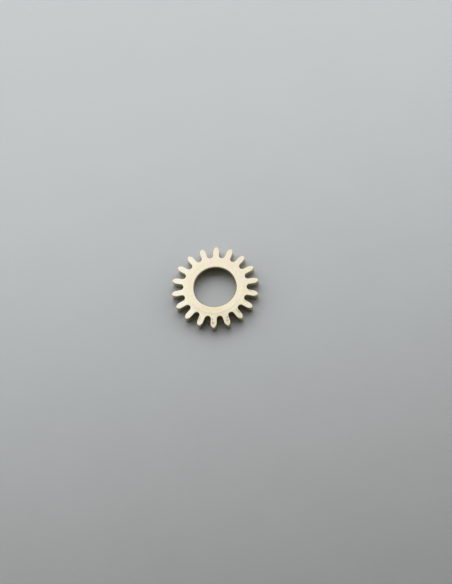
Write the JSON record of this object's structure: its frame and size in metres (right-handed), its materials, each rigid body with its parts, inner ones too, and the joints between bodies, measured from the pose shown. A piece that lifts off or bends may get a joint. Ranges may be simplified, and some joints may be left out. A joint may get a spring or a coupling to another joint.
{
  "type": "setting wheel",
  "caption": "Small flat spur wheel in gilt brass with a plain bore and a slightly raised hub ring, for the hand-setting work of a watch.",
  "frame": {"origin": "the bore's axis, at the wheel's underside", "axes": "+Z along the bore axis, from the underside to the hub's face; +X through the middle of a tooth"},
  "size_m": [0.003, 0.003, 0.0004],
  "materials": {
    "gilt_brass": "pale gilt, satin, with fine turning marks"
  },
  "bodies": {
    "root": {"setting_wheel": "gilt_brass"}
  },
  "joints": []
}
